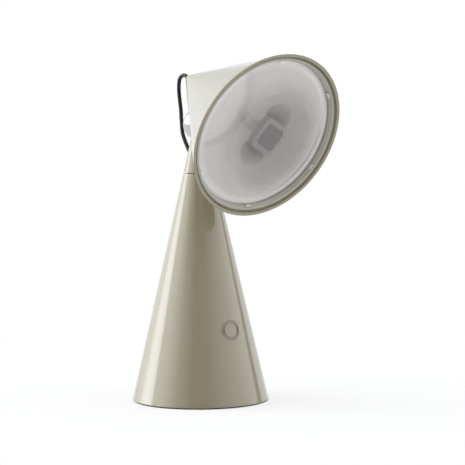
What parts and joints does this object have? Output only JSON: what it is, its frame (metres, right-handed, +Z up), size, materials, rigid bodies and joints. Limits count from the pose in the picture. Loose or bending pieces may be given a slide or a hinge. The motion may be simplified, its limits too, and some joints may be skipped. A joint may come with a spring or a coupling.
{
  "type": "portable table lamp",
  "caption": "Portable table lamp: glossy cone base with a push button and charging inlet, swivelling neck, and a cone head on a chromed ball, with a domed lens and a looped cable.",
  "frame": {"origin": "centre of the foot's rest face", "axes": "+Z up along the base cone's axis; the head and the button face -Y, the cable and the charging inlet are at the back, +Y"},
  "size_m": [0.1376, 0.1711, 0.282],
  "materials": {
    "lacquer": "gloss",
    "grey_plastic": "satin",
    "black_plastic": "satin",
    "white_plastic": "satin",
    "rubber": "matte",
    "cable_jacket": "gloss",
    "steel": "satin",
    "chrome": "polished",
    "aluminium": "satin",
    "mirror_coat": "polished",
    "clear_acrylic": "polished",
    "circuit_board": "satin",
    "led_phosphor": "matte",
    "cell_wrap": "gloss",
    "magnet_plate": "gloss"
  },
  "bodies": {
    "base": {"foot_pad": "rubber", "base_plate": "steel", "base_screw_1": "steel", "base_screw_2": "steel", "base_screw_3": "steel", "mounting_ring": "aluminium", "base_shell": "lacquer", "battery_holder": "black_plastic", "holder_screw_1": "steel", "holder_screw_2": "steel", "battery_cell_1": "cell_wrap", "battery_cell_2": "cell_wrap", "contact_cap": "black_plastic", "board_stand": "black_plastic", "driver_board": "circuit_board", "charge_socket": "steel", "inlet_frame": "black_plastic", "button_housing": "lacquer", "switch_body": "grey_plastic", "switch_board": "circuit_board", "swivel_bush": "white_plastic", "base_lead": "cable_jacket"},
    "button": {"button_cap": "lacquer", "switch_plunger": "black_plastic"},
    "neck": {"neck_shell": "lacquer", "swivel_spindle": "steel", "swivel_washer": "steel", "swivel_nut": "steel", "neck_grommet": "rubber", "ball_stud": "steel", "ball_nut": "steel", "ball": "chrome", "cable": "cable_jacket"},
    "head": {"head_shell": "lacquer", "apex_gland": "rubber", "seat_collar": "aluminium", "ball_seat": "white_plastic", "seat_magnet": "magnet_plate", "seat_cap": "aluminium", "heat_sink": "aluminium", "led_post": "aluminium", "led_board": "white_plastic", "led_chip_1": "led_phosphor", "led_chip_2": "led_phosphor", "led_chip_3": "led_phosphor", "led_chip_4": "led_phosphor", "glare_shade": "aluminium", "shade_panel": "black_plastic", "reflector": "mirror_coat", "cover_lens": "clear_acrylic", "lens_ring": "grey_plastic"}
  },
  "joints": [
    {"name": "button_press", "type": "slide", "parent": "base", "child": "button", "axis": [0, 0.9742, -0.2256], "range_m": [0, 0.0006], "stiffness_N_per_m": 800, "springref_m": -0.001},
    {"name": "swivel", "type": "hinge", "parent": "base", "child": "neck", "pos_m": [0, 0, 0.184], "axis": [0, 0, 1], "range_deg": [-170, 170]},
    {"name": "tilt", "type": "hinge", "parent": "neck", "child": "head", "pos_m": [0, 0, 0.2228], "axis": [-1, 0, 0], "range_deg": [-26, 60], "deforming": ["cable"]}
  ]
}
